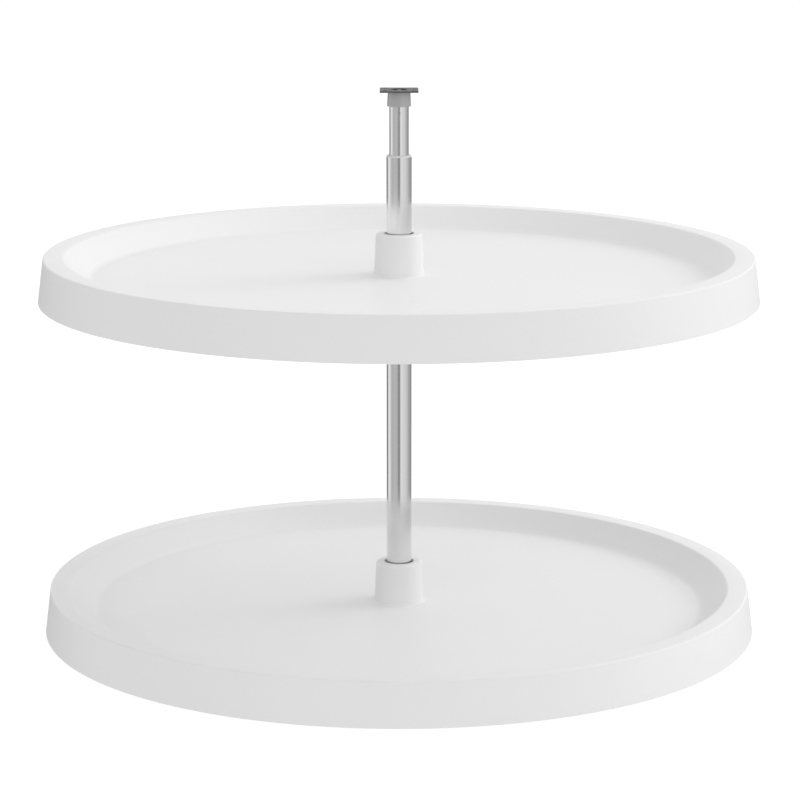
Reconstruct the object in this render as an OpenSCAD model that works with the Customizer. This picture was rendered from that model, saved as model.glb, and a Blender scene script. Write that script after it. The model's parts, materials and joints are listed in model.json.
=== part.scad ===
// Two-tier corner-cupboard carousel: two full-round moulded shelves that turn, each on its own
// ball bearing, on a fixed telescopic steel post between a floor plate and a ceiling plate.
// Millimetres, +Z up along the post, origin at the centre of the floor plate's underside.

/* [Shelves] */
// Outer diameter of a shelf at the bottom edge of its skirt
shelf_d = 714; // [560:2:900]
// Distance from one shelf's rim to the other's
shelf_spacing = 335.1; // [220:0.1:420]
// Height of the skirt below the rim
skirt_h = 43.3; // [38:0.1:60]
// How far the skirt's bottom edge stands out past the rim, on the radius
skirt_flare = 5.5; // [2:0.1:9]
// Thickness of the moulded shell
shell_t = 3; // [2:0.1:4]
// Width of the flat rim
rim_w = 20; // [14:0.5:26]
// Depth of the shelf's floor below the rim
dish_depth = 22.3; // [14:0.1:26]
// Slope of the dish's side, in degrees up from the floor
side_slope = 41; // [32:0.5:65]
// Radius where the dish's side runs into the floor
cove_r = 12; // [8:1:30]
// Radius of the rim's outer edge
rim_edge_r = 2; // [0.5:0.1:2.5]
// Radius of the rim's inner edge
rim_inner_r = 5; // [1:0.5:6]

/* [Hubs] */
// Height of the hub's top above the rim
hub_rise = 19.4; // [6:0.1:40]
// Open gap between the post and the hub's mouth
hub_gap = 2.2; // [1.6:0.1:3]
// Wall of the hub's inner sleeve
sleeve_t = 3; // [2:0.1:4]
// Hollow between the sleeve and the hub's skin, at the top
hub_core = 2.3; // [1.5:0.1:4]
// How much wider the hub's foot is than its top, on the radius
hub_taper = 2; // [0.5:0.1:5]
// Radius of the hub's top edge
hub_edge_r = 2.6; // [1:0.1:3]
// Radius where the hub runs into the floor
hub_foot_r = 2; // [1:0.5:8]
// Height of the hub's lower end above the skirt's bottom edge
hub_recess = 5; // [3:0.5:8]
// Number of webs in the hub's hollow
hub_webs = 6; // [3:1:8]
// Depth of the hub bush's top below the hub's top
bush_drop = 12; // [6:0.5:20]

/* [Shelf ribs] */
// Number of radial ribs under a shelf
rib_count = 12; // [6:1:16]
// Thickness of the ribs
rib_t = 2; // [1.4:0.1:3]
// How far the ribs hang below the floor's underside at the dish's side
rib_drop = 7; // [4:0.5:9]
// Diameter of the inner ring rib
inner_ring_d = 200; // [120:2:280]
// Diameter of the outer ring rib
outer_ring_d = 400; // [320:2:460]
// How far the ring ribs hang below the floor's underside
ring_drop = 5; // [3:0.5:8]

/* [Post] */
// Outer diameter of the outer tube
tube_d = 25; // [22:0.5:30]
// Wall of the outer tube
tube_wall = 1.2; // [1:0.1:1.6]
// Height of the outer tube's end above the upper rim
tube_reach = 97.1; // [60:0.1:140]
// Wall of the plastic guide between the two tubes
guide_wall = 1.7; // [1.3:0.1:2.4]
// Length of that guide inside the outer tube
guide_len = 30; // [24:1:45]
// Lip of that guide on the tube's end
guide_lip = 1.6; // [0.8:0.1:2]
// Wall of the inner tube
inner_wall = 1.2; // [0.8:0.1:1.6]
// Length of inner tube that shows between the outer tube and the cap
inner_show = 48.3; // [20:0.1:90]
// Length of inner tube held inside the outer tube
inner_tuck = 230; // [160:1:280]
// Height of the glide on the inner tube's lower end
glide_h = 20; // [12:1:30]
// Diameter of the screw that locks the two tubes
lock_screw_d = 5; // [4:0.5:6]

/* [Ceiling bearing] */
// Height of the cap
cap_h = 14.5; // [12:0.1:20]
// Wall of the cap round the inner tube, at its lower edge
cap_wall = 2.25; // [1.6:0.05:3]
// How much narrower the cap is at its top, on the radius
cap_taper = 0.7; // [0:0.1:1]
// Thickness of the cap under its dimple
cap_floor_t = 2.6; // [2:0.1:4]
// Length of the cap's plug below the cap's lower edge
plug_len = 12; // [10:0.5:20]
// Wall of the cap's plug
plug_wall = 2.2; // [1.6:0.1:3]
// Diameter of the pin that holds the cap on the inner tube
cap_pin_d = 2.6; // [2:0.1:3.5]
// Distance of that pin below the cap
cap_pin_drop = 6.3; // [4:0.1:8]
// Width of the square ceiling plate
plate_w = 38; // [36:0.5:60]
// Thickness of the ceiling plate
plate_t = 1.5; // [1.2:0.1:2]
// Diameter of the dimple in the ceiling plate
dimple_d = 17.2; // [15:0.1:18]
// Depth of the dimple
dimple_depth = 2; // [1.5:0.1:2.5]
// Diameter of the rivet that the plate swivels on
rivet_d = 5; // [4:0.1:5.5]
// Diameter of the rivet's domed head
rivet_head_d = 8.4; // [7.6:0.1:9]
// Distance between the ceiling plate's screw holes
plate_hole_pitch = 28; // [27:0.5:29]
// Diameter of the ceiling plate's screw holes
plate_hole_d = 4.5; // [3.5:0.1:5]

/* [Floor plate and socket] */
// Height of the lower shelf's skirt above the cupboard floor
floor_gap = 30; // [28:1:110]
// Width of the square floor plate
base_w = 120; // [112:1:180]
// Thickness of the floor plate
base_t = 3; // [2.5:0.1:5]
// Radius of the floor plate's corners
base_corner_r = 14; // [6:1:20]
// Distance between the floor plate's screw holes
base_hole_pitch = 92; // [86:1:96]
// Diameter of the floor plate's screw holes
base_hole_d = 5.5; // [4:0.1:7]
// Diameter of the socket's flange
flange_d = 76; // [72:1:84]
// Thickness of the socket's flange
flange_t = 4; // [3:0.5:5]
// Thickness of the socket's floor under the outer tube
socket_floor_t = 2; // [1.5:0.1:4]
// Width of the ledge inside the socket that the outer tube stands on
socket_ledge = 5; // [3:0.5:7]
// Wall of the socket round the outer tube
socket_wall = 5.5; // [4:0.5:7]
// Number of gussets round the socket
gusset_count = 8; // [4:4:12]
// Thickness of the gussets
gusset_t = 2.5; // [1.5:0.1:3.5]
// Diameter of the rivets that join the socket and the floor plate
base_rivet_d = 4; // [3:0.5:5]
// Diameter of the set screws in the socket and in the collar
set_screw_d = 6; // [4:0.5:6]

/* [Shelf bearings] */
// Ball diameter
ball_d = 5; // [4:0.5:6]
// Number of balls in each bearing
ball_count = 14; // [8:1:15]
// Thickness of a race
race_t = 2; // [1.6:0.1:3]
// Width of a race from its inner to its outer edge
race_w = 9; // [8:0.5:11]
// Depth of the ball groove in a race
groove_depth = 0.8; // [0.5:0.1:1]
// Thickness of the ball cage
cage_t = 1.8; // [1.2:0.1:2]
// Wall of the spigot that centres a race
spigot_t = 2.5; // [2:0.1:3]
// Thickness of the hub bush's flange
bush_flange_t = 2.6; // [2:0.1:4]
// Height of the clamp collar that carries the upper shelf
collar_h = 20; // [16:0.5:30]
// Wall of the clamp collar round the outer tube
collar_wall = 7.5; // [6:0.5:9]
// Thickness of the seat under each bearing
seat_t = 4; // [3:0.5:5]
// How far each seat stands out past its race
seat_lip = 1; // [0.5:0.1:2]
// How far the ball cage's edges lie inside the races' edges
cage_inset = 0.5; // [0.3:0.1:1]

/* [Fits] */
// Radial clearance where a piece turns or slides on the post
run_fit = 0.08; // [0.04:0.01:0.1]
// Clearance between pieces that are fitted together for good
snug_fit = 0.05; // [0.02:0.01:0.08]
// Clearance round a ball
ball_fit = 0.06; // [0.04:0.01:0.1]
// Clearance between the ceiling plate and the cap
swivel_fit = 0.25; // [0.1:0.05:0.4]

/* [Hidden] */

plastic_white = [0.93, 0.93, 0.92];
plastic_grey = [0.62, 0.62, 0.61];
plastic_dark = [0.22, 0.22, 0.23];
plastic_natural = [0.86, 0.86, 0.84];
chrome_silver = [0.8, 0.81, 0.82];
steel_grey = [0.55, 0.56, 0.58];
steel_dark = [0.3, 0.31, 0.33];
zinc_silver = [0.7, 0.7, 0.69];

round_fn = 120;
small_fn = 48;
overlap = 0.5;
through = 1;
edge_cut = 1;
spigot_drop = 0.3;
rib_recess = 2;
hex_share = 0.55;
screw_proud = 0.5;
lock_screw_proud = 0.8;

// radii on the post
tube_r = tube_d / 2;
tube_bore_r = tube_r - tube_wall;
inner_r = tube_bore_r - guide_wall;
inner_bore_r = inner_r - inner_wall;
run_r = tube_r + run_fit;
spigot_r = tube_r + spigot_t;

// the bearing, from its seat upwards
ball_r = ball_d / 2;
ball_rise = ball_r - groove_depth;
race_inner_r = spigot_r + snug_fit;
race_outer_r = race_inner_r + race_w;
ball_pitch_r = race_inner_r + race_w / 2;
bearing_h = 2 * race_t + 2 * ball_rise;
ball_z = race_t + ball_rise;
spigot_h = race_t - spigot_drop;
seat_r = race_outer_r + seat_lip;

// the shelf's profile, with z = 0 at the rim
skirt_r = shelf_d / 2;
rim_r = skirt_r - skirt_flare;
dish_r = rim_r - rim_w;
floor_r = dish_r - dish_depth / tan(side_slope);
sleeve_in_r = tube_r + hub_gap;
sleeve_out_r = sleeve_in_r + sleeve_t;
hub_top_r = sleeve_out_r + hub_core + shell_t;
hub_foot = hub_top_r + hub_taper;
sleeve_end = skirt_h - hub_recess;
floor_under = dish_depth + shell_t;
// sideways offset of the inner faces of the sloping side and of the skirt
side_shift = shell_t / sin(side_slope) - shell_t / tan(side_slope);
skirt_inner_r = skirt_face_r(skirt_h);
rim_inner_face_r = skirt_face_r(shell_t);
under_dish_r = dish_r + side_shift;
under_floor_r = under_dish_r - dish_depth / tan(side_slope);

// heights
lower_rim_z = floor_gap + skirt_h;
upper_rim_z = lower_rim_z + shelf_spacing;
lower_seat_z = lower_rim_z - sleeve_end - bush_flange_t - bearing_h;
upper_seat_z = upper_rim_z - sleeve_end - bush_flange_t - bearing_h;
tube_foot_z = base_t + socket_floor_t;
tube_end_z = upper_rim_z + tube_reach;
cap_foot_z = tube_end_z + inner_show;
cap_top_z = cap_foot_z + cap_h;
plate_top_z = cap_top_z + swivel_fit + plate_t;
cap_cavity_z = cap_top_z - dimple_depth - cap_floor_t;
plug_r = inner_bore_r - snug_fit;
plug_bore_r = plug_r - plug_wall;
dimple_r = dimple_d / 2;
dimple_floor_r = dimple_r - 2 * dimple_depth;
washer_t = 0.8;
rivet_hole_r = rivet_d / 2 + snug_fit;
inner_foot_z = tube_end_z - inner_tuck;
lock_screw_z = tube_end_z - guide_len / 2;
collar_screw_z = upper_seat_z - collar_h + (collar_h - seat_t - edge_cut) / 2;
socket_screw_z = (base_t + flange_t + lower_seat_z - seat_t) / 2;
socket_r = tube_r + socket_wall;
drain_r = tube_r - socket_ledge;
collar_r = tube_r + collar_wall;
base_rivet_r = (socket_r + flange_d / 2) / 2;

// radius of the skirt's inner face at a depth below the rim
function skirt_face_r(depth) = rim_r - shell_t + skirt_flare * depth / skirt_h;
function unit(v) = v / norm(v);
function tangent_len(a, b, c, r) = r / tan(acos(unit(a - b) * unit(c - b)) / 2);
function arc_centre(a, b, c, r) =
    b + unit(unit(a - b) + unit(c - b)) * r / sin(acos(unit(a - b) * unit(c - b)) / 2);

// what lies between the corner b of the outline a, b, c and an arc of radius r
module corner(a, b, c, r) {
    t = tangent_len(a, b, c, r);
    m = arc_centre(a, b, c, r);
    difference() {
        polygon([b, b + unit(a - b) * t, m, b + unit(c - b) * t]);
        translate(m) circle(r, $fn = round_fn);
    }
}

module ring(r_in, r_out, h, z = 0) {
    translate([0, 0, z]) rotate_extrude($fn = round_fn)
        translate([r_in, 0]) square([r_out - r_in, h]);
}

module disc(r, h, z = 0) {
    translate([0, 0, z]) cylinder(r = r, h = h, $fn = small_fn);
}

// a round hole or pin that points along -Y, from the axis outwards
module radial(r, from, to, z) {
    translate([0, -from, z]) rotate([90, 0, 0]) cylinder(r = r, h = to - from, $fn = small_fn);
}

module tray_outline() {
    hub_a = [sleeve_in_r, hub_rise];
    hub_b = [hub_top_r, hub_rise];
    hub_c = [hub_foot, -dish_depth];
    dish_a = [floor_r, -dish_depth];
    dish_b = [dish_r, 0];
    rim_a = [rim_r, 0];
    rim_b = [skirt_r, -skirt_h];
    in_a = [skirt_inner_r, -skirt_h];
    in_b = [rim_inner_face_r, -shell_t];
    in_c = [under_dish_r, -shell_t];
    in_d = [under_floor_r, -floor_under];
    in_e = [sleeve_out_r, -floor_under];
    difference() {
        union() {
            polygon([hub_a, hub_b, hub_c, dish_a, dish_b, rim_a, rim_b, in_a, in_b, in_c, in_d, in_e,
                [sleeve_out_r, -sleeve_end], [sleeve_in_r, -sleeve_end]]);
            corner(hub_b, hub_c, dish_a, hub_foot_r);
            corner(hub_c, dish_a, dish_b, cove_r);
        }
        corner(hub_a, hub_b, hub_c, hub_edge_r);
        corner(dish_a, dish_b, rim_a, rim_inner_r);
        corner(dish_b, rim_a, rim_b, rim_edge_r);
        corner(in_c, in_d, in_e, cove_r + shell_t);
        hub_hollow();
    }
}

// the hollow between the hub's sleeve and its skin, open downwards
module hub_hollow() {
    polygon([[sleeve_out_r, hub_rise - shell_t], [hub_top_r - shell_t, hub_rise - shell_t],
        [hub_foot - shell_t, -dish_depth], [hub_foot - shell_t, -floor_under - overlap],
        [sleeve_out_r, -floor_under - overlap]]);
}

module radial_rib() {
    rotate([90, 0, 0]) translate([0, 0, -rib_t / 2]) linear_extrude(rib_t)
        polygon([[sleeve_out_r - overlap, rib_recess - sleeve_end],
            [sleeve_out_r - overlap, -floor_under - overlap],
            [hub_foot - shell_t - overlap, -floor_under - overlap],
            [hub_foot - shell_t + overlap, -floor_under + overlap],
            [under_floor_r, -floor_under + overlap], [under_dish_r, -shell_t + overlap],
            [rim_inner_face_r, -shell_t + overlap],
            [skirt_face_r(floor_under + rib_drop) + overlap, -floor_under - rib_drop],
            [under_floor_r, -floor_under - rib_drop]]);
}

module ring_rib(d) {
    ring(d / 2 - rib_t / 2, d / 2 + rib_t / 2, ring_drop + overlap, -floor_under - ring_drop);
}

module hub_web() {
    rotate([90, 0, 0]) translate([0, 0, -rib_t / 2]) linear_extrude(rib_t)
        polygon([[sleeve_out_r - overlap, hub_rise - shell_t + overlap],
            [hub_top_r - shell_t + overlap, hub_rise - shell_t + overlap],
            [hub_foot - shell_t + overlap, -dish_depth],
            [hub_foot - shell_t + overlap, -floor_under - overlap],
            [sleeve_out_r - overlap, -floor_under - overlap]]);
}

module tray(rim_z) {
    color(plastic_white) translate([0, 0, rim_z]) {
        rotate_extrude($fn = round_fn) tray_outline();
        for (i = [0 : rib_count - 1])
            rotate([0, 0, i * 360 / rib_count]) radial_rib();
        for (i = [0 : hub_webs - 1])
            rotate([0, 0, i * 360 / hub_webs]) hub_web();
        ring_rib(inner_ring_d);
        ring_rib(outer_ring_d);
    }
}

// a race with its groove in the upper face; the turning race is the same ring upside down
module race(seat_z, turning) {
    groove_z = turning ? ball_z + ball_rise : 0;
    color(steel_grey) translate([0, 0, seat_z + groove_z]) rotate_extrude($fn = round_fn)
        difference() {
            translate([race_inner_r, 0]) square([race_w, race_t]);
            translate([ball_pitch_r, turning ? -ball_rise : race_t + ball_rise])
                circle(ball_r + ball_fit, $fn = small_fn);
        }
}

module ball_cage(seat_z) {
    color(plastic_natural) translate([0, 0, seat_z + ball_z - cage_t / 2]) difference() {
        ring(race_inner_r + cage_inset, race_outer_r - cage_inset, cage_t);
        for (i = [0 : ball_count - 1])
            rotate([0, 0, i * 360 / ball_count]) translate([ball_pitch_r, 0, -through])
                cylinder(r = ball_r + ball_fit, h = cage_t + 2 * through, $fn = small_fn);
    }
}

module balls(seat_z) {
    color(chrome_silver) for (i = [0 : ball_count - 1])
        rotate([0, 0, i * 360 / ball_count]) translate([ball_pitch_r, 0, seat_z + ball_z])
            sphere(r = ball_r, $fn = small_fn);
}

// flanged sleeve in the hub, which turns on the post and sits on the turning race
module hub_bush(seat_z) {
    flange_z = seat_z + bearing_h;
    sleeve_h = bush_flange_t + sleeve_end + hub_rise - bush_drop;
    flange_top = bush_flange_t - snug_fit;
    color(plastic_dark) translate([0, 0, flange_z]) rotate_extrude($fn = round_fn)
        polygon([[run_r, -spigot_h], [spigot_r, -spigot_h], [spigot_r, 0], [race_outer_r, 0],
            [race_outer_r, flange_top], [sleeve_in_r - snug_fit, flange_top],
            [sleeve_in_r - snug_fit, sleeve_h], [run_r, sleeve_h]]);
}

module set_screw(r, from, to, z) {
    hex_depth = min(r, (to - from) / 2);
    difference() {
        radial(r, from, to, z);
        translate([0, -to - through, z]) rotate([-90, 0, 0])
            cylinder(r = r * hex_share, h = hex_depth + through, $fn = 6);
    }
}

module base_plate() {
    half = base_w / 2;
    inset = half - base_corner_r;
    color(steel_dark) linear_extrude(base_t) difference() {
        union() {
            square([base_w, 2 * inset], center = true);
            square([2 * inset, base_w], center = true);
            for (x = [-inset, inset])
                for (y = [-inset, inset])
                    translate([x, y]) circle(base_corner_r, $fn = round_fn);
        }
        for (x = [-base_hole_pitch / 2, base_hole_pitch / 2])
            for (y = [-base_hole_pitch / 2, base_hole_pitch / 2])
                translate([x, y]) circle(base_hole_d / 2, $fn = small_fn);
        for (a = [0 : 90 : 270])
            rotate(a) translate([base_rivet_r, 0]) circle(base_rivet_d / 2 + snug_fit, $fn = small_fn);
    }
}

module gusset() {
    foot_r = flange_d / 2 - 2 * edge_cut;
    rotate([90, 0, 0]) translate([0, 0, -gusset_t / 2]) linear_extrude(gusset_t)
        polygon([[socket_r - overlap, base_t + flange_t - overlap],
            [foot_r, base_t + flange_t - overlap], [foot_r, base_t + flange_t + edge_cut],
            [seat_r - 2 * edge_cut, lower_seat_z - seat_t + overlap],
            [socket_r - overlap, lower_seat_z - seat_t + overlap]]);
}

module base_socket() {
    bore_r = tube_r + snug_fit;
    flange_r = flange_d / 2;
    flange_z = base_t + flange_t;
    color(plastic_dark) difference() {
        union() {
            rotate_extrude($fn = round_fn)
                polygon([[drain_r, base_t], [flange_r, base_t], [flange_r, flange_z - edge_cut],
                    [flange_r - edge_cut, flange_z], [socket_r, flange_z],
                    [socket_r, lower_seat_z - seat_t], [seat_r, lower_seat_z - seat_t],
                    [seat_r, lower_seat_z], [spigot_r, lower_seat_z],
                    [spigot_r, lower_seat_z + spigot_h], [bore_r, lower_seat_z + spigot_h],
                    [bore_r, tube_foot_z], [drain_r, tube_foot_z]]);
            for (i = [0 : gusset_count - 1])
                rotate([0, 0, (i + 0.5) * 360 / gusset_count]) gusset();
        }
        radial(set_screw_d / 2 + snug_fit, tube_r - through, flange_r, socket_screw_z);
        for (a = [0 : 90 : 270])
            rotate([0, 0, a]) translate([base_rivet_r, 0, base_t - through])
                cylinder(r = base_rivet_d / 2 + snug_fit, h = flange_t + 2 * through, $fn = small_fn);
    }
}

module rivet_head(r, h) {
    dome_r = (r * r + h * h) / (2 * h);
    rotate_extrude($fn = small_fn) intersection() {
        translate([0, h - dome_r]) circle(dome_r, $fn = round_fn);
        square([r, h]);
    }
}

module base_rivets() {
    head_r = base_rivet_d * 0.9;
    head_h = base_rivet_d * 0.45;
    shank_z = 0.4;
    color(steel_grey) for (a = [0 : 90 : 270])
        rotate([0, 0, a]) translate([base_rivet_r, 0, 0]) {
            disc(base_rivet_d / 2, base_t + flange_t + overlap - shank_z, shank_z);
            translate([0, 0, base_t + flange_t]) rivet_head(head_r, head_h);
        }
}

module base_set_screw() {
    color(steel_dark) set_screw(set_screw_d / 2, tube_r, socket_r + screw_proud, socket_screw_z);
}

module outer_tube() {
    color(chrome_silver) difference() {
        ring(tube_bore_r, tube_r, tube_end_z - guide_lip - tube_foot_z, tube_foot_z);
        mirror([0, 1, 0])
            radial(lock_screw_d / 2 + snug_fit, tube_bore_r - through, tube_r + through, lock_screw_z);
    }
}

module guide_bush() {
    guide_r = tube_bore_r - snug_fit;
    lip_edge = 0.7;
    color(plastic_natural) difference() {
        rotate_extrude($fn = round_fn)
            polygon([[inner_r + run_fit, tube_end_z - guide_len], [guide_r, tube_end_z - guide_len],
                [guide_r, tube_end_z - guide_lip], [tube_r, tube_end_z - guide_lip],
                [tube_r, tube_end_z - lip_edge], [tube_r - lip_edge, tube_end_z],
                [inner_r + run_fit, tube_end_z]]);
        mirror([0, 1, 0])
            radial(lock_screw_d / 2 + snug_fit, inner_r - through, tube_r + through, lock_screw_z);
    }
}

module tube_lock_screw() {
    color(steel_dark) mirror([0, 1, 0])
        set_screw(lock_screw_d / 2, inner_r + run_fit, tube_r + lock_screw_proud, lock_screw_z);
}

module upper_collar() {
    foot_z = upper_seat_z - collar_h;
    color(zinc_silver) difference() {
        rotate_extrude($fn = round_fn)
            polygon([[run_r, foot_z], [collar_r - edge_cut, foot_z], [collar_r, foot_z + edge_cut],
                [collar_r, upper_seat_z - seat_t - 2 * edge_cut], [seat_r, upper_seat_z - seat_t],
                [seat_r, upper_seat_z], [spigot_r, upper_seat_z], [spigot_r, upper_seat_z + spigot_h],
                [run_r, upper_seat_z + spigot_h]]);
        radial(set_screw_d / 2 + snug_fit, tube_r - through, collar_r + through, collar_screw_z);
    }
}

module collar_set_screw() {
    color(steel_dark) set_screw(set_screw_d / 2, run_r, collar_r + screw_proud, collar_screw_z);
}

module inner_tube() {
    color(chrome_silver) difference() {
        ring(inner_bore_r, inner_r, cap_cavity_z - snug_fit - inner_foot_z, inner_foot_z);
        radial(cap_pin_d / 2 + snug_fit, -inner_r - through, inner_r + through, cap_foot_z - cap_pin_drop);
    }
}

module inner_tube_glide() {
    glide_r = tube_bore_r - run_fit;
    floor_t = 2;
    edge = 0.6;
    hole_r = inner_bore_r - floor_t;
    color(plastic_dark) translate([0, 0, inner_foot_z - floor_t]) rotate_extrude($fn = round_fn)
        polygon([[hole_r, 0], [glide_r - edge, 0], [glide_r, edge], [glide_r, glide_h],
            [inner_r + snug_fit, glide_h], [inner_r + snug_fit, floor_t - snug_fit],
            [hole_r, floor_t - snug_fit]]);
}

module cap_pin() {
    inset = 0.3;
    pin_end = inner_r - inset;
    color(steel_grey) radial(cap_pin_d / 2, -pin_end, pin_end, cap_foot_z - cap_pin_drop);
}

module top_cap() {
    foot_r = inner_r + cap_wall;
    top_r = foot_r - cap_taper;
    slot_r = inner_r + snug_fit;
    dimple_z = cap_top_z - dimple_depth;
    color(plastic_grey) difference() {
        rotate_extrude($fn = round_fn)
            polygon([[rivet_hole_r, cap_cavity_z], [plug_bore_r, cap_cavity_z],
                [plug_bore_r, cap_foot_z - plug_len], [plug_r, cap_foot_z - plug_len],
                [plug_r, cap_cavity_z], [slot_r, cap_cavity_z], [slot_r, cap_foot_z],
                [foot_r, cap_foot_z], [top_r, cap_top_z], [dimple_r + swivel_fit, cap_top_z],
                [dimple_floor_r + swivel_fit, dimple_z], [rivet_hole_r, dimple_z]]);
        radial(cap_pin_d / 2 + snug_fit, -plug_r - through, plug_r + through, cap_foot_z - cap_pin_drop);
    }
}

module top_plate() {
    color(steel_dark) translate([0, 0, plate_top_z]) difference() {
        union() {
            difference() {
                translate([0, 0, -plate_t / 2]) cube([plate_w, plate_w, plate_t], center = true);
                disc(dimple_r, plate_t + 2 * through, -plate_t - through);
            }
            rotate_extrude($fn = round_fn)
                polygon([[rivet_hole_r, -dimple_depth], [dimple_floor_r, -dimple_depth], [dimple_r, 0],
                    [dimple_r + overlap, 0], [dimple_r + overlap, -plate_t], [dimple_r, -plate_t],
                    [dimple_floor_r, -dimple_depth - plate_t], [rivet_hole_r, -dimple_depth - plate_t]]);
        }
        for (x = [-plate_hole_pitch / 2, plate_hole_pitch / 2])
            for (y = [-plate_hole_pitch / 2, plate_hole_pitch / 2])
                translate([x, y, 0]) disc(plate_hole_d / 2, plate_t + 2 * through, -plate_t - through);
    }
}

module pivot_rivet() {
    head_z = plate_top_z - dimple_depth;
    tail_z = cap_cavity_z - washer_t - 2 * snug_fit;
    head_sink = 0.2;
    tail_r = rivet_d * 0.75;
    tail_h = rivet_d * 0.3;
    color(chrome_silver) {
        disc(rivet_d / 2, head_z + overlap - tail_z, tail_z);
        translate([0, 0, head_z]) rivet_head(rivet_head_d / 2, dimple_depth - head_sink);
        translate([0, 0, tail_z]) mirror([0, 0, 1]) rivet_head(tail_r, tail_h);
    }
}

module rivet_washer() {
    color(steel_grey)
        ring(rivet_hole_r, plug_bore_r - edge_cut, washer_t, cap_cavity_z - washer_t - snug_fit);
}

module lower_seat_race() race(lower_seat_z, false);
module lower_ball_cage() ball_cage(lower_seat_z);
module lower_balls() balls(lower_seat_z);
module lower_turning_race() race(lower_seat_z, true);
module lower_hub_bush() hub_bush(lower_seat_z);
module lower_tray() tray(lower_rim_z);
module upper_seat_race() race(upper_seat_z, false);
module upper_ball_cage() ball_cage(upper_seat_z);
module upper_balls() balls(upper_seat_z);
module upper_turning_race() race(upper_seat_z, true);
module upper_hub_bush() hub_bush(upper_seat_z);
module upper_tray() tray(upper_rim_z);

base_plate();
base_socket();
base_rivets();
base_set_screw();
outer_tube();
guide_bush();
tube_lock_screw();
lower_seat_race();
lower_ball_cage();
lower_balls();
lower_turning_race();
lower_hub_bush();
lower_tray();
upper_collar();
collar_set_screw();
upper_seat_race();
upper_ball_cage();
upper_balls();
upper_turning_race();
upper_hub_bush();
upper_tray();
inner_tube();
inner_tube_glide();
cap_pin();
top_cap();
rivet_washer();
pivot_rivet();
top_plate();
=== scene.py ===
import json
import math

import bpy
from mathutils import Matrix, Vector


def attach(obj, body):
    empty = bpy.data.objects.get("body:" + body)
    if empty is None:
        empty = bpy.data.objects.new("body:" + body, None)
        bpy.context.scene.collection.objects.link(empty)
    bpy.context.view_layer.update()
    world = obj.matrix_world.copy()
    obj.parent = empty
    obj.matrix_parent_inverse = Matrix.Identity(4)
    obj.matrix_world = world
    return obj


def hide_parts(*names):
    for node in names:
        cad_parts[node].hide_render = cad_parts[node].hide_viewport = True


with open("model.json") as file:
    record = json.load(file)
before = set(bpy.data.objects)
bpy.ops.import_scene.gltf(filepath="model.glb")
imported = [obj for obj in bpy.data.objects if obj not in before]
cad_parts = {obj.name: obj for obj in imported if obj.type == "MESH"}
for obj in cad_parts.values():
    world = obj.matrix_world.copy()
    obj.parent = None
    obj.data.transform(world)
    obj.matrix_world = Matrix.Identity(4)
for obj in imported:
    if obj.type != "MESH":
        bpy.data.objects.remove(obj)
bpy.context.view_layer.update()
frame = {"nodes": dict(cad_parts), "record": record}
cadNodes = frame["nodes"]
print("loaded", len(cadNodes), "nodes")

mm = 0.001

# how the carousel is looked at, from the front and a little above
cameraSettings = {
    "place": (0.0, -2.9554, 0.8742),
    "tiltDown": 11.7635,
    "lens": 135.52,
    "sensor": 36.0,
    "shiftX": 0.00117,
}


def makeCamera(settings):
    data = bpy.data.cameras.new("viewCamera")
    data.lens = settings["lens"]
    data.sensor_width = settings["sensor"]
    data.shift_x = settings["shiftX"]
    camera = bpy.data.objects.new("viewCamera", data)
    camera.location = settings["place"]
    camera.rotation_euler = (math.radians(90 - settings["tiltDown"]), 0, 0)
    bpy.context.scene.collection.objects.link(camera)
    bpy.context.scene.camera = camera


makeCamera(cameraSettings)
bpy.context.scene.view_settings.view_transform = "Standard"
print("camera set")


# small helpers for building node trees
def addNode(tree, kind, **values):
    node = tree.nodes.new(kind)
    for name, value in values.items():
        setattr(node, name, value)
    return node


def join(tree, source, sourceSocket, target, targetSocket):
    tree.links.new(source.outputs[sourceSocket], target.inputs[targetSocket])


def newMaterial(name):
    material = bpy.data.materials.new(name)
    material.use_nodes = True
    tree = material.node_tree
    return material, tree, tree.nodes["Principled BSDF"]


# a finish group gives a colour, a roughness and a height for the bump
def openGroup(name, inputs):
    group = bpy.data.node_groups.new(name, "ShaderNodeTree")
    for label, kind, default in inputs:
        socket = group.interface.new_socket(label, in_out="INPUT", socket_type=kind)
        socket.default_value = default
    group.interface.new_socket("Color", in_out="OUTPUT", socket_type="NodeSocketColor")
    for label in ("Roughness", "Height"):
        group.interface.new_socket(label, in_out="OUTPUT", socket_type="NodeSocketFloat")
    start = group.nodes.new("NodeGroupInput")
    end = group.nodes.new("NodeGroupOutput")
    return group, start, end


def addNoise(group, detail):
    noise = addNode(group, "ShaderNodeTexNoise")
    noise.inputs["Detail"].default_value = detail
    return noise


# the group's colour, made darker by a factor
def addTint(group, start, end, factor, factorSocket):
    tint = addNode(group, "ShaderNodeVectorMath", operation="SCALE")
    join(group, start, "Color", tint, 0)
    join(group, factor, factorSocket, tint, "Scale")
    join(group, tint, "Vector", end, "Color")


# roughness that drifts up and down with a noise
def addGloss(group, start, end, noise):
    noiseMiddle = 0.5
    drift = addNode(group, "ShaderNodeMath", operation="SUBTRACT")
    drift.inputs[1].default_value = noiseMiddle
    join(group, noise, "Fac", drift, 0)
    gloss = addNode(group, "ShaderNodeMath", operation="MULTIPLY_ADD")
    join(group, drift, "Value", gloss, 0)
    join(group, start, "Gloss Drift", gloss, 1)
    join(group, start, "Roughness", gloss, 2)
    join(group, gloss, "Value", end, "Roughness")


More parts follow.
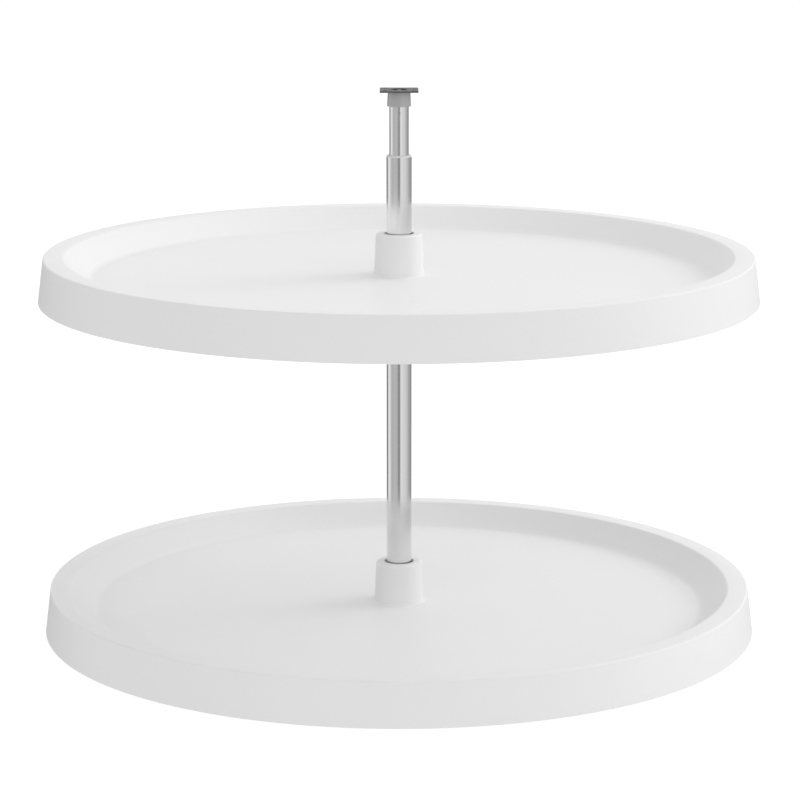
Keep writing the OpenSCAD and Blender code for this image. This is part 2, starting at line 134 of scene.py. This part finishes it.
# moulded plastic: a fine spark-eroded grain, faint flow clouds in the colour, uneven gloss
def makeMouldGrain():
    cloudDetail, grainDetail = 3, 2
    thinnest, thickest = 0.3, 0.7
    group, start, end = openGroup("mouldGrain", [
        ("Color", "NodeSocketColor", (0.8, 0.8, 0.8, 1)),
        ("Grain Size", "NodeSocketFloat", 900.0),
        ("Cloud Size", "NodeSocketFloat", 9.0),
        ("Cloud Depth", "NodeSocketFloat", 0.02),
        ("Roughness", "NodeSocketFloat", 0.4),
        ("Gloss Drift", "NodeSocketFloat", 0.06),
    ])
    place = addNode(group, "ShaderNodeTexCoord")
    clouds = addNoise(group, cloudDetail)
    join(group, place, "Object", clouds, "Vector")
    join(group, start, "Cloud Size", clouds, "Scale")
    grain = addNoise(group, grainDetail)
    join(group, place, "Object", grain, "Vector")
    join(group, start, "Grain Size", grain, "Scale")
    # clouds darken the colour by at most Cloud Depth
    shade = addNode(group, "ShaderNodeMapRange")
    shade.inputs["From Min"].default_value = thinnest
    shade.inputs["From Max"].default_value = thickest
    shade.inputs["To Min"].default_value = 1
    less = addNode(group, "ShaderNodeMath", operation="SUBTRACT")
    less.inputs[0].default_value = 1
    join(group, start, "Cloud Depth", less, 1)
    join(group, less, "Value", shade, "To Max")
    join(group, clouds, "Fac", shade, "Value")
    addTint(group, start, end, shade, "Result")
    addGloss(group, start, end, clouds)
    join(group, grain, "Fac", end, "Height")
    return group


# drawn, turned or rolled metal: fine lines along one direction
def makeDrawnMetal():
    lineDetail = 3
    group, start, end = openGroup("drawnMetal", [
        ("Color", "NodeSocketColor", (0.8, 0.8, 0.8, 1)),
        ("Line Density", "NodeSocketVector", (900.0, 900.0, 12.0)),
        ("Line Shade", "NodeSocketFloat", 0.04),
        ("Roughness", "NodeSocketFloat", 0.1),
        ("Gloss Drift", "NodeSocketFloat", 0.08),
    ])
    place = addNode(group, "ShaderNodeTexCoord")
    stretch = addNode(group, "ShaderNodeVectorMath", operation="MULTIPLY")
    join(group, place, "Object", stretch, 0)
    join(group, start, "Line Density", stretch, 1)
    lines = addNoise(group, lineDetail)
    lines.inputs["Scale"].default_value = 1
    join(group, stretch, "Vector", lines, "Vector")
    shade = addNode(group, "ShaderNodeMath", operation="MULTIPLY")
    join(group, lines, "Fac", shade, 0)
    join(group, start, "Line Shade", shade, 1)
    rest = addNode(group, "ShaderNodeMath", operation="SUBTRACT")
    rest.inputs[0].default_value = 1
    join(group, shade, "Value", rest, 1)
    addTint(group, start, end, rest, "Value")
    addGloss(group, start, end, lines)
    join(group, lines, "Fac", end, "Height")
    return group


mouldGrain = makeMouldGrain()
drawnMetal = makeDrawnMetal()


# the record's slot name in the style of the other names here
def finishName(slot):
    words = slot.split("_")
    return words[0] + "".join(word.capitalize() for word in words[1:])


def makeFinish(name, group, settings):
    material, tree, shader = newMaterial(name)
    node = addNode(tree, "ShaderNodeGroup", node_tree=group)
    for label, value in settings["group"].items():
        node.inputs[label].default_value = value
    join(tree, node, "Color", shader, "Base Color")
    join(tree, node, "Roughness", shader, "Roughness")
    bump = addNode(tree, "ShaderNodeBump")
    bump.inputs["Strength"].default_value = settings["bump"]
    bump.inputs["Distance"].default_value = settings["relief"]
    join(tree, node, "Height", bump, "Height")
    join(tree, bump, "Normal", shader, "Normal")
    for label, value in settings.get("shader", {}).items():
        shader.inputs[label].default_value = value
    return material


finishes = {
    "white_plastic": (mouldGrain, {
        "group": {"Color": (0.83, 0.83, 0.83, 1), "Grain Size": 1400, "Cloud Size": 7,
                  "Cloud Depth": 0.012, "Roughness": 0.42, "Gloss Drift": 0.08},
        "bump": 0.25, "relief": 0.02 * mm,
        "shader": {"Specular IOR Level": 0.35},
    }),
    "natural_plastic": (mouldGrain, {
        "group": {"Color": (0.7, 0.7, 0.67, 1), "Grain Size": 1800, "Cloud Size": 60,
                  "Cloud Depth": 0.04, "Roughness": 0.45, "Gloss Drift": 0.1},
        "bump": 0.3, "relief": 0.02 * mm,
    }),
    "grey_plastic": (mouldGrain, {
        "group": {"Color": (0.44, 0.44, 0.44, 1), "Grain Size": 2200, "Cloud Size": 90,
                  "Cloud Depth": 0.06, "Roughness": 0.36, "Gloss Drift": 0.12},
        "bump": 0.35, "relief": 0.02 * mm,
        "shader": {"Metallic": 0.5},
    }),
    "dark_plastic": (mouldGrain, {
        "group": {"Color": (0.03, 0.03, 0.032, 1), "Grain Size": 1600, "Cloud Size": 50,
                  "Cloud Depth": 0.15, "Roughness": 0.5, "Gloss Drift": 0.15},
        "bump": 0.4, "relief": 0.03 * mm,
    }),
    "chrome_tube": (drawnMetal, {
        "group": {"Color": (0.8, 0.8, 0.803, 1), "Line Density": (700, 700, 6),
                  "Line Shade": 0.05, "Roughness": 0.13, "Gloss Drift": 0.06},
        "bump": 0.1, "relief": 0.01 * mm,
        "shader": {"Metallic": 1.0},
    }),
    "floor_plate_steel": (drawnMetal, {
        "group": {"Color": (0.16, 0.165, 0.175, 1), "Line Density": (60, 900, 60),
                  "Line Shade": 0.3, "Roughness": 0.42, "Gloss Drift": 0.2},
        "bump": 0.2, "relief": 0.03 * mm,
        "shader": {"Metallic": 0.7},
    }),
    "ceiling_plate_steel": (drawnMetal, {
        "group": {"Color": (0.21, 0.213, 0.218, 1), "Line Density": (260, 120, 260),
                  "Line Shade": 0.55, "Roughness": 0.3, "Gloss Drift": 0.25},
        "bump": 0.2, "relief": 0.02 * mm,
        "shader": {"Metallic": 0.9, "Specular Tint": (0.5, 0.5, 0.5, 1)},
    }),
    "rivet_steel": (drawnMetal, {
        "group": {"Color": (0.85, 0.85, 0.86, 1), "Line Density": (1200, 1200, 300),
                  "Line Shade": 0.08, "Roughness": 0.18, "Gloss Drift": 0.1},
        "bump": 0.15, "relief": 0.02 * mm,
        "shader": {"Metallic": 1.0},
    }),
    "screw_steel": (drawnMetal, {
        "group": {"Color": (0.05, 0.05, 0.055, 1), "Line Density": (1500, 1500, 1500),
                  "Line Shade": 0.3, "Roughness": 0.38, "Gloss Drift": 0.2},
        "bump": 0.2, "relief": 0.02 * mm,
        "shader": {"Metallic": 0.9},
    }),
    "race_steel": (drawnMetal, {
        "group": {"Color": (0.55, 0.56, 0.58, 1), "Line Density": (900, 900, 900),
                  "Line Shade": 0.12, "Roughness": 0.28, "Gloss Drift": 0.15},
        "bump": 0.15, "relief": 0.02 * mm,
        "shader": {"Metallic": 1.0},
    }),
    "ball_steel": (drawnMetal, {
        "group": {"Color": (0.85, 0.85, 0.86, 1), "Line Density": (2000, 2000, 2000),
                  "Line Shade": 0.03, "Roughness": 0.06, "Gloss Drift": 0.04},
        "bump": 0.05, "relief": 0.005 * mm,
        "shader": {"Metallic": 1.0},
    }),
    "collar_zinc": (drawnMetal, {
        "group": {"Color": (0.6, 0.6, 0.61, 1), "Line Density": (500, 500, 500),
                  "Line Shade": 0.15, "Roughness": 0.4, "Gloss Drift": 0.2},
        "bump": 0.3, "relief": 0.04 * mm,
        "shader": {"Metallic": 1.0},
    }),
}
materials = {}
for slotName, (finishGroup, finishSettings) in finishes.items():
    materials[slotName] = makeFinish(finishName(slotName), finishGroup, finishSettings)

for row in frame["record"]["subparts"]:
    node = cadNodes[row["node"]]
    node.data.materials.clear()
    node.data.materials.append(materials[row["material_slot"]])
print("finishes on", len(cadNodes), "nodes")

# one shelf moulding, in millimetres from its rim: radius, height and rounding of each corner
traySettings = {
    "sides": 262,
    "arcStep": 9.0,
    "weldGap": 0.001 * mm,
    "smoothAngle": 30.0,
    "outline": [
        (14.7, 19.4, 0), (23.0, 19.4, 2.6), (25.0, -22.3, 2), (305.847, -22.3, 12), (331.5, 0, 5),
        (351.5, 0, 2), (357.0, -43.3, 0), (354.0, -43.3, 0), (348.881, -3, 0), (332.622, -3, 0),
        (306.968, -25.3, 15), (22.0, -25.3, 0), (22.0, -22.3, 0), (20.0, 16.4, 0), (17.7, 16.4, 0),
        (17.7, -38.3, 0), (14.7, -38.3, 0),
    ],
    "rib": [
        (17.2, -36.3), (17.2, -25.8), (21.5, -25.8), (22.5, -24.8), (306.968, -24.8), (332.622, -2.5),
        (348.881, -2.5), (353.103, -32.3), (306.968, -32.3),
    ],
    "ribThickness": 2,
    "ribCount": 12,
    "web": [(17.2, 16.9), (20.5, 16.9), (22.5, -22.3), (22.5, -25.8), (17.2, -25.8)],
    "webCount": 6,
    "ringRadii": (100, 200),
    "ringTop": -24.8,
    "ringFoot": -30.3,
    "rimHeights": {"upper_tray": 408.4, "lower_tray": 73.3},
    "bodies": {"upper_tray": "upper_shelf", "lower_tray": "lower_shelf"},
}


# the points of an arc that rounds the corner between two straight runs, from the first to the second
def roundCorner(before, corner, after, radius, step):
    tip = Vector(corner)
    toBefore, toAfter = (Vector(before) - tip).normalized(), (Vector(after) - tip).normalized()
    half = toBefore.angle(toAfter) / 2
    middle = tip + (toBefore + toAfter).normalized() * (radius / math.sin(half))
    reach = radius / math.tan(half)
    start, end = tip + toBefore * reach - middle, tip + toAfter * reach - middle
    count = max(2, math.ceil(math.degrees(math.pi - 2 * half) / step))
    # mathutils counts a turn to the right as positive
    turn = -start.angle_signed(end)
    points = []
    for number in range(count + 1):
        angle = turn * number / count
        points.append((
            middle.x + start.x * math.cos(angle) - start.y * math.sin(angle),
            middle.y + start.x * math.sin(angle) + start.y * math.cos(angle)))
    return points


def roundOutline(corners, step):
    points = []
    for number, (radius, height, rounding) in enumerate(corners):
        before, after = corners[number - 1][:2], corners[(number + 1) % len(corners)][:2]
        if rounding:
            points += roundCorner(before, (radius, height), after, rounding, step)
        else:
            points.append((radius, height))
    return points


def selectAll():
    bpy.ops.mesh.select_all(action="SELECT")


def weld():
    selectAll()
    bpy.ops.mesh.remove_doubles(threshold=traySettings["weldGap"])
    selectAll()


# a closed line through the points, upright over the X axis, in a new object left in edit mode
def traceLine(name, points):
    bpy.ops.object.select_all(action="DESELECT")
    bpy.ops.mesh.primitive_plane_add(size=2 * mm, location=(0, 0, 0))
    piece = bpy.context.object
    piece.name = name
    bpy.ops.object.mode_set(mode="EDIT")
    selectAll()
    bpy.ops.mesh.merge(type="CENTER")
    place = (0, 0)
    for number, (across, up) in enumerate(points + points[:1]):
        move = {"value": ((across - place[0]) * mm, 0, (up - place[1]) * mm)}
        if number == 0:
            bpy.ops.transform.translate(**move)
        else:
            bpy.ops.mesh.extrude_vertices_move(TRANSFORM_OT_translate=move)
        place = (across, up)
    weld()
    return piece


def closeUp():
    weld()
    bpy.ops.mesh.normals_make_consistent(inside=False)
    bpy.ops.object.mode_set(mode="OBJECT")


# an outline turned a full round about the post
def turnedRing(name, points, sides):
    piece = traceLine(name, points)
    bpy.ops.mesh.spin(steps=sides, angle=2 * math.pi, center=(0, 0, 0), axis=(0, 0, 1))
    closeUp()
    return piece


# upright ribs of one outline, evenly spaced about the post
def ribSet(name, points, thickness, count):
    piece = traceLine(name, points)
    bpy.ops.mesh.edge_face_add()
    bpy.ops.transform.translate(value=(0, -thickness / 2 * mm, 0))
    bpy.ops.mesh.extrude_region_move(TRANSFORM_OT_translate={"value": (0, thickness * mm, 0)})
    selectAll()
    around = 2 * math.pi * (count - 1) / count
    bpy.ops.mesh.spin(steps=count - 1, dupli=True, angle=around, center=(0, 0, 0), axis=(0, 0, 1))
    closeUp()
    return piece


def makeTray(name, settings):
    shell = turnedRing(name, roundOutline(settings["outline"], settings["arcStep"]), settings["sides"])
    extras = [
        ribSet(name + "Ribs", settings["rib"], settings["ribThickness"], settings["ribCount"]),
        ribSet(name + "Webs", settings["web"], settings["ribThickness"], settings["webCount"]),
    ]
    half = settings["ribThickness"] / 2
    for radius in settings["ringRadii"]:
        extras.append(turnedRing(name + "Ring", [
            (radius - half, settings["ringFoot"]), (radius + half, settings["ringFoot"]),
            (radius + half, settings["ringTop"]), (radius - half, settings["ringTop"])], settings["sides"]))
    bpy.ops.object.select_all(action="DESELECT")
    for piece in [shell] + extras:
        piece.select_set(True)
    bpy.context.view_layer.objects.active = shell
    bpy.ops.object.join()
    bpy.ops.object.shade_smooth_by_angle(angle=math.radians(settings["smoothAngle"]))
    return shell


def placeTray(tray, node, settings):
    tray.data.transform(Matrix.Translation((0, 0, settings["rimHeights"][node] * mm)))
    tray.data.materials.append(materials["white_plastic"])
    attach(tray, settings["bodies"][node])
    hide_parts(node)


upperShelf = makeTray("upperShelf", traySettings)
lowerShelf = upperShelf.copy()
lowerShelf.data = upperShelf.data.copy()
lowerShelf.name = "lowerShelf"
bpy.context.scene.collection.objects.link(lowerShelf)
placeTray(upperShelf, "upper_tray", traySettings)
placeTray(lowerShelf, "lower_tray", traySettings)
print("shelves moulded", len(upperShelf.data.polygons), "faces each")

# the studio: a pale floor, one soft lamp at the right and a room of soft light
studioSettings = {
    "floorRadius": 9.0,
    "floorSides": 96,
    "floorDrop": 0.2 * mm,
    "floorGlow": 0.88,
    "floorLight": 0.63,
    "floorColor": 0.24,
    "horizonBlur": 0.06,
    "lampDistance": 3.0,
    "lampSize": 1.6,
    "lampPower": 22.2,
    "lampCompass": 110,
    "lampHeight": 25,
    "aim": (0.0, 0.0, 0.3),
    "roomScale": 5.0,
    "roomHeights": (0.08, 0.42, 0.85),
}

# the room's own light, in equal steps round the compass from the left by way of the front
roomLow = [0.09, 0.00, 0.00, 0.08, 0.28, 0.39, 0.38, 0.35, 0.34, 0.39, 0.38, 0.29]
roomMiddle = [1.07, 1.44, 1.77, 1.86, 1.78, 1.68, 1.73, 1.73, 1.73, 1.68, 1.17, 0.94]
roomHigh = [0.61, 0.46, 0.88, 1.06]


def makeFloor(settings):
    bpy.ops.object.select_all(action="DESELECT")
    bpy.ops.mesh.primitive_circle_add(
        vertices=settings["floorSides"], radius=settings["floorRadius"], fill_type="NGON",
        location=(0, 0, -settings["floorDrop"]))
    floor = bpy.context.object
    floor.name = "studioFloor"
    floor.visible_glossy = False
    material, tree, shader = newMaterial("studioFloor")
    tree.nodes.remove(shader)
    matt = addNode(tree, "ShaderNodeBsdfDiffuse")
    matt.inputs["Color"].default_value = (settings["floorColor"],) * 3 + (1,)
    glow = addNode(tree, "ShaderNodeEmission")
    path = addNode(tree, "ShaderNodeLightPath")
    # the camera sees the floor as bright as the backdrop, and the shelves are lit by floorLight
    strength = addNode(tree, "ShaderNodeMapRange")
    strength.inputs["To Min"].default_value = settings["floorLight"]
    strength.inputs["To Max"].default_value = settings["floorGlow"]
    join(tree, path, "Is Camera Ray", strength, "Value")
    join(tree, strength, "Result", glow, "Strength")
    both = addNode(tree, "ShaderNodeAddShader")
    join(tree, matt, "BSDF", both, 0)
    join(tree, glow, "Emission", both, 1)
    # and seen from below it isn't there
    side = addNode(tree, "ShaderNodeNewGeometry")
    clear = addNode(tree, "ShaderNodeBsdfTransparent")
    choice = addNode(tree, "ShaderNodeMixShader")
    join(tree, side, "Backfacing", choice, 0)
    join(tree, both, "Shader", choice, 1)
    join(tree, clear, "BSDF", choice, 2)
    join(tree, choice, "Shader", tree.nodes["Material Output"], "Surface")
    floor.data.materials.append(material)


def aimAt(thing, point):
    direction = Vector(point) - thing.location
    thing.rotation_euler = direction.to_track_quat("-Z", "Y").to_euler()


def lampPlace(settings, compass, height):
    turn, rise = math.radians(compass), math.radians(height)
    away = Vector((math.sin(turn) * math.cos(rise), -math.cos(turn) * math.cos(rise), math.sin(rise)))
    return Vector(settings["aim"]) + away * settings["lampDistance"]


def makeLamp(name, place, size, power, aim):
    data = bpy.data.lights.new(name, "AREA")
    data.shape = "DISK"
    data.size = size
    data.energy = power
    lamp = bpy.data.objects.new(name, data)
    lamp.location = place
    aimAt(lamp, aim)
    lamp.visible_glossy = False
    bpy.context.scene.collection.objects.link(lamp)


# what polished metal sees round the room, by compass angle: 0.25 is the front, 0.5 the right
roomBands = [
    (0.00, 0.84), (0.027, 0.68), (0.055, 0.52), (0.10, 0.55), (0.15, 0.58), (0.20, 0.52),
    (0.224, 0.42), (0.244, 0.25), (0.265, 0.27), (0.286, 0.77), (0.33, 0.90), (0.36, 0.80),
    (0.42, 0.78), (0.45, 0.70), (0.475, 0.66), (0.51, 0.52), (0.55, 0.44), (0.60, 0.37),
    (0.67, 0.30), (0.80, 0.24), (0.885, 0.22), (0.925, 0.80), (0.95, 1.00), (0.985, 0.88),
    (1.00, 0.84),
]

# and above the horizon, by height: the white backdrop, then a darker ceiling
roomAbove = [(0.0, 1.0), (0.22, 1.0), (0.6, 0.2), (1.0, 0.1)]


def makeRamp(tree, source, stops):
    ramp = addNode(tree, "ShaderNodeValToRGB")
    marks = ramp.color_ramp.elements
    while len(marks) > 1:
        marks.remove(marks[-1])
    for number, (position, level) in enumerate(stops):
        mark = marks[0] if number == 0 else marks.new(position)
        mark.position = position
        mark.color = (level, level, level, 1)
    tree.links.new(source, ramp.inputs["Fac"])
    return ramp.outputs["Color"]


# evenly spaced levels as a closed round of ramp stops, kept below 1 by the scale
def roundStops(levels, scale):
    stops = [(number / len(levels), level / scale) for number, level in enumerate(levels)]
    return stops + [(1.0, levels[0] / scale)]


# inputs 0, 6 and 7 and output 2 are a colour mix's own sockets
def blend(tree, factor, first, second):
    mix = addNode(tree, "ShaderNodeMix", data_type="RGBA")
    tree.links.new(factor, mix.inputs[0])
    tree.links.new(first, mix.inputs[6])
    tree.links.new(second, mix.inputs[7])
    return mix.outputs[2]


def between(tree, source, low, high, kind="LINEAR"):
    part = addNode(tree, "ShaderNodeMapRange", interpolation_type=kind)
    part.inputs["From Min"].default_value = low
    part.inputs["From Max"].default_value = high
    tree.links.new(source, part.inputs["Value"])
    return part.outputs["Result"]


def makeWorld(settings):
    world = bpy.data.worlds.new("studioWorld")
    world.use_nodes = True
    bpy.context.scene.world = world
    tree = world.node_tree
    tree.nodes.clear()
    output = addNode(tree, "ShaderNodeOutputWorld")
    place = addNode(tree, "ShaderNodeTexCoord")
    turn = addNode(tree, "ShaderNodeTexGradient", gradient_type="RADIAL")
    join(tree, place, "Generated", turn, "Vector")
    compass = turn.outputs["Fac"]
    split = addNode(tree, "ShaderNodeSeparateXYZ")
    join(tree, place, "Generated", split, "Vector")
    height = split.outputs["Z"]
    # light on the shelves: three rings of the room, low, middle and high
    scale = settings["roomScale"]
    low, middle, high = settings["roomHeights"]
    lowRing, middleRing, highRing = [
        makeRamp(tree, compass, roundStops(levels, scale)) for levels in (roomLow, roomMiddle, roomHigh)]
    lower = blend(tree, between(tree, height, low, middle), lowRing, middleRing)
    soft = addNode(tree, "ShaderNodeBackground")
    soft.inputs["Strength"].default_value = scale
    light = blend(tree, between(tree, height, middle, high), lower, highRing)
    tree.links.new(light, soft.inputs["Color"])
    # what polished metal sees: bands below the horizon, the backdrop and the ceiling above
    upwards = between(tree, height, -settings["horizonBlur"], settings["horizonBlur"], "SMOOTHSTEP")
    metalView = addNode(tree, "ShaderNodeBackground")
    seen = blend(tree, upwards, makeRamp(tree, compass, roomBands), makeRamp(tree, height, roomAbove))
    tree.links.new(seen, metalView.inputs["Color"])
    # what the camera sees behind the object
    white = addNode(tree, "ShaderNodeBackground")
    white.inputs["Color"].default_value = (1, 1, 1, 1)
    path = addNode(tree, "ShaderNodeLightPath")
    direct = addNode(tree, "ShaderNodeMixShader")
    join(tree, path, "Is Camera Ray", direct, 0)
    join(tree, soft, "Background", direct, 1)
    join(tree, white, "Background", direct, 2)
    mirrored = addNode(tree, "ShaderNodeMixShader")
    join(tree, path, "Is Glossy Ray", mirrored, 0)
    join(tree, direct, "Shader", mirrored, 1)
    join(tree, metalView, "Background", mirrored, 2)
    join(tree, mirrored, "Shader", output, "Surface")


makeFloor(studioSettings)
keyPlace = lampPlace(studioSettings, studioSettings["lampCompass"], studioSettings["lampHeight"])
makeLamp("keyLight", keyPlace, studioSettings["lampSize"], studioSettings["lampPower"], studioSettings["aim"])
makeWorld(studioSettings)
print("studio ready")
